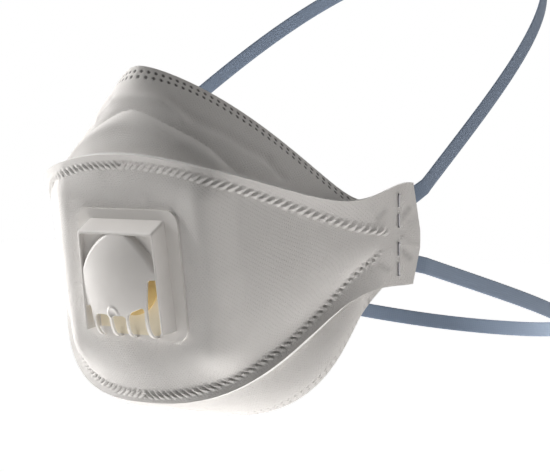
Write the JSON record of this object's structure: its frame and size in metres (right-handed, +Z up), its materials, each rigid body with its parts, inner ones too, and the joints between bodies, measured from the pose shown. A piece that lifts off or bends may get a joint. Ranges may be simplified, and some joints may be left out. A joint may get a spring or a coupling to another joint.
{
  "type": "disposable dust mask",
  "caption": "Flat-fold dust mask with three fabric panels, an exhalation valve with a sprung flap, a nose clip and two stapled elastic headbands that swing at the tabs.",
  "frame": {"origin": "middle of the face opening, between the ends of the two tabs", "axes": "+Y out of the face opening towards the wearer's head, +Z up, +X to the wearer's left"},
  "size_m": [0.161, 0.2413, 0.1752],
  "materials": {
    "outer_web": "matte",
    "filter_web": "matte",
    "stiffener_web": "matte",
    "inner_web": "matte",
    "aluminium_strip": "satin",
    "foam": "matte",
    "valve_plastic": "satin",
    "flap_rubber": "satin",
    "elastic": "matte",
    "staple_steel": "satin"
  },
  "bodies": {
    "mask": {"centre_panel_outer_cover": "outer_web", "centre_panel_filter": "filter_web", "centre_panel_stiffener": "stiffener_web", "centre_panel_inner_cover": "inner_web", "top_panel_outer_cover": "outer_web", "top_panel_filter": "filter_web", "top_panel_inner_cover": "inner_web", "bottom_panel_outer_cover": "outer_web", "bottom_panel_filter": "filter_web", "bottom_panel_inner_cover": "inner_web", "nose_clip": "aluminium_strip", "nose_foam": "foam", "valve_seat": "valve_plastic", "valve_cover": "valve_plastic", "flap_root": "flap_rubber", "upper_left_band_end": "elastic", "upper_right_band_end": "elastic", "lower_left_band_end": "elastic", "lower_right_band_end": "elastic", "upper_left_staple": "staple_steel", "upper_right_staple": "staple_steel", "lower_left_staple": "staple_steel", "lower_right_staple": "staple_steel"},
    "flap": {"valve_flap": "flap_rubber"},
    "upper_band": {"upper_headband": "elastic"},
    "lower_band": {"lower_headband": "elastic"}
  },
  "joints": [
    {"name": "flap_hinge", "type": "hinge", "parent": "mask", "child": "flap", "pos_m": [0.001, -0.06401, 0.00775], "axis": [-1, 0, 0], "range_deg": [0, 5], "stiffness_Nm_per_rad": 0.0001, "springref_deg": -20.05},
    {"name": "upper_band_swing", "type": "hinge", "parent": "mask", "child": "upper_band", "pos_m": [0, 0.00768, 0.0263], "axis": [1, 0, 0], "range_deg": [-25, 80]},
    {"name": "lower_band_swing", "type": "hinge", "parent": "mask", "child": "lower_band", "pos_m": [0, 0.00809, -0.00197], "axis": [1, 0, 0], "range_deg": [-75, 20]}
  ]
}
